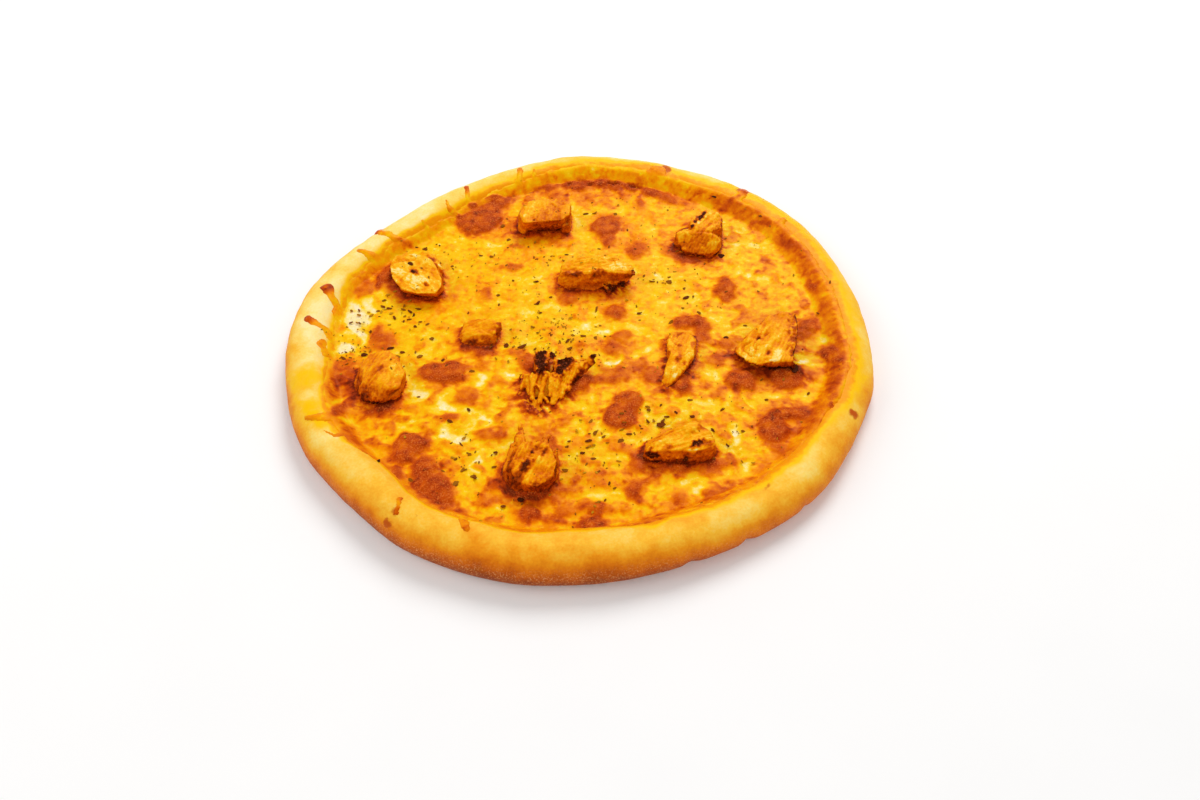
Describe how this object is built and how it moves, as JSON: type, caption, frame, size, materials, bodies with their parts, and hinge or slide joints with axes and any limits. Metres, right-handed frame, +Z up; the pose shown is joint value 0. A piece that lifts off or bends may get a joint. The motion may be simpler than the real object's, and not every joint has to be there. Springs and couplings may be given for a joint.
{
  "type": "chicken pizza",
  "caption": "Whole round pizza with a puffy baked rim, melted cheese, herb flakes and chunks of roast chicken, resting on its flat underside.",
  "frame": {"origin": "centre of the pizza's bounding box, on its flat underside", "axes": "+Z up through the toppings; +Y away from the viewer of the reference picture, +X to the right"},
  "size_m": [0.295, 0.2914, 0.0235],
  "materials": {
    "crust": "baked dough, golden to brown, matt with a fine grain",
    "tomato_sauce": "wet dark red sauce",
    "melted_cheese": "melted yellow cheese, softly glossy, with browned blisters and herb flakes",
    "chicken": "roast chicken, fibrous, orange to brown with charred edges"
  },
  "bodies": {
    "root": {"crust": "crust", "tomato_sauce": "tomato_sauce", "melted_cheese": "melted_cheese", "chicken_01": "chicken", "chicken_02": "chicken", "chicken_03": "chicken", "chicken_04": "chicken", "chicken_05": "chicken", "chicken_06": "chicken", "chicken_07": "chicken", "chicken_08": "chicken", "chicken_09": "chicken", "chicken_10": "chicken", "chicken_11": "chicken"}
  },
  "joints": []
}
